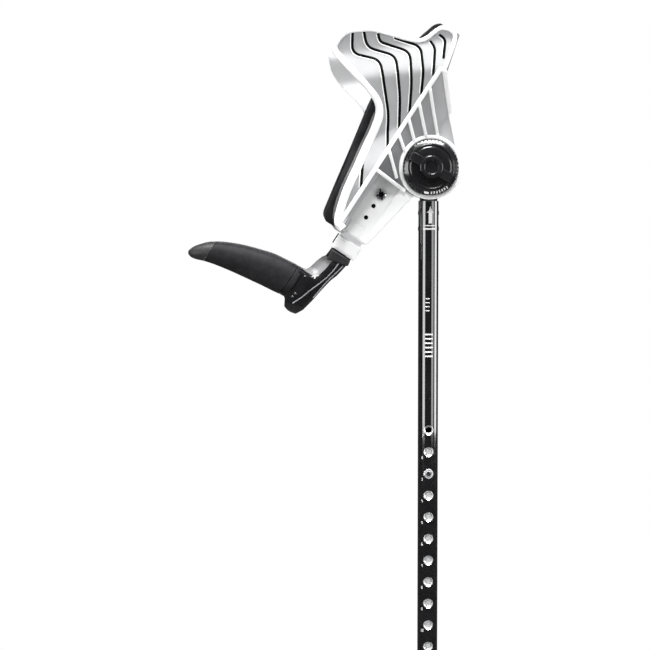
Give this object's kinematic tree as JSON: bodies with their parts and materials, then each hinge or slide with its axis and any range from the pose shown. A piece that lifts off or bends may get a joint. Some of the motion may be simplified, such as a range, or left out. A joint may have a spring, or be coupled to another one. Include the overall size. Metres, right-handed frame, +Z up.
{
  "type": "forearm crutch",
  "caption": "Height-adjustable forearm crutch: tilting platform cuff with winged trough and pad, clamp knob, sliding hand grip, telescopic leg with snap button and rubber ferrule.",
  "frame": {"origin": "centre of the ferrule's ground face", "axes": "+Z up along the shaft, the hand grip points towards -X, the cuff pivot lies along Y with its knob on the -Y side"},
  "size_m": [0.3109, 0.1097, 0.9961],
  "materials": {
    "black_lacquer": "high gloss lacquer",
    "black_nylon": "moulded, satin",
    "bright_steel": "bright zinc",
    "zinc_steel": "zinc plated",
    "dark_steel": "blackened",
    "brass": "turned",
    "friction_rubber": "matte",
    "white_shell": "moulded, satin gloss",
    "pad_foam": "soft matte foam",
    "gloss_black": "polished",
    "aluminium_tube": "anodised",
    "grip_rubber": "fine matte texture",
    "ferrule_rubber": "matte"
  },
  "bodies": {
    "shaft": {"outer_tube": "black_lacquer", "shaft_head": "black_nylon", "head_rivets": "dark_steel", "pivot_bush": "bright_steel", "friction_disc_near": "friction_rubber", "friction_disc_far": "friction_rubber", "tube_collar": "black_nylon"},
    "cuff": {"cuff_trough": "white_shell", "cheek_near": "white_shell", "cheek_far": "white_shell", "cheek_screws": "zinc_steel", "stem_socket": "white_shell", "clamp_bolt": "zinc_steel", "bolt_cap": "black_nylon", "knob_washer": "bright_steel", "forearm_pad": "pad_foam", "handle_bolt": "bright_steel", "handle_nut": "zinc_steel"},
    "knob": {"knob_body": "gloss_black", "knob_insert": "brass", "knob_bar": "gloss_black", "knob_cap": "gloss_black"},
    "handle": {"handle_stem": "white_shell", "handle_arm": "gloss_black", "stem_screws": "zinc_steel", "grip_core": "aluminium_tube", "grip_sleeve": "grip_rubber", "grip_tip": "gloss_black", "grip_screw": "zinc_steel"},
    "leg": {"inner_tube": "aluminium_tube", "tube_glide": "black_nylon", "snap_spring": "bright_steel", "ferrule": "ferrule_rubber", "ferrule_washer": "zinc_steel"},
    "button": {"snap_button": "dark_steel"}
  },
  "joints": [
    {"name": "cuff_tilt", "type": "hinge", "parent": "shaft", "child": "cuff", "pos_m": [0, 0, 0.835], "axis": [0, 1, 0], "range_deg": [-15, 57]},
    {"name": "knob_turn", "type": "hinge", "parent": "cuff", "child": "knob", "pos_m": [0, -0.03, 0.835], "axis": [0, -1, 0], "range_deg": [0, 540]},
    {"name": "handle_slide", "type": "slide", "parent": "cuff", "child": "handle", "axis": [-0.5446, 0, -0.8387], "range_m": [0, 0.031]},
    {"name": "leg_slide", "type": "slide", "parent": "shaft", "child": "leg", "axis": [0, 0, -1], "range_m": [-0.05, 0.25]},
    {"name": "leg_button", "type": "slide", "parent": "leg", "child": "button", "axis": [0, 1, 0], "range_m": [0, 0.0045], "stiffness_N_per_m": 2000, "springref_m": -0.002, "deforming": ["snap_spring"]}
  ]
}
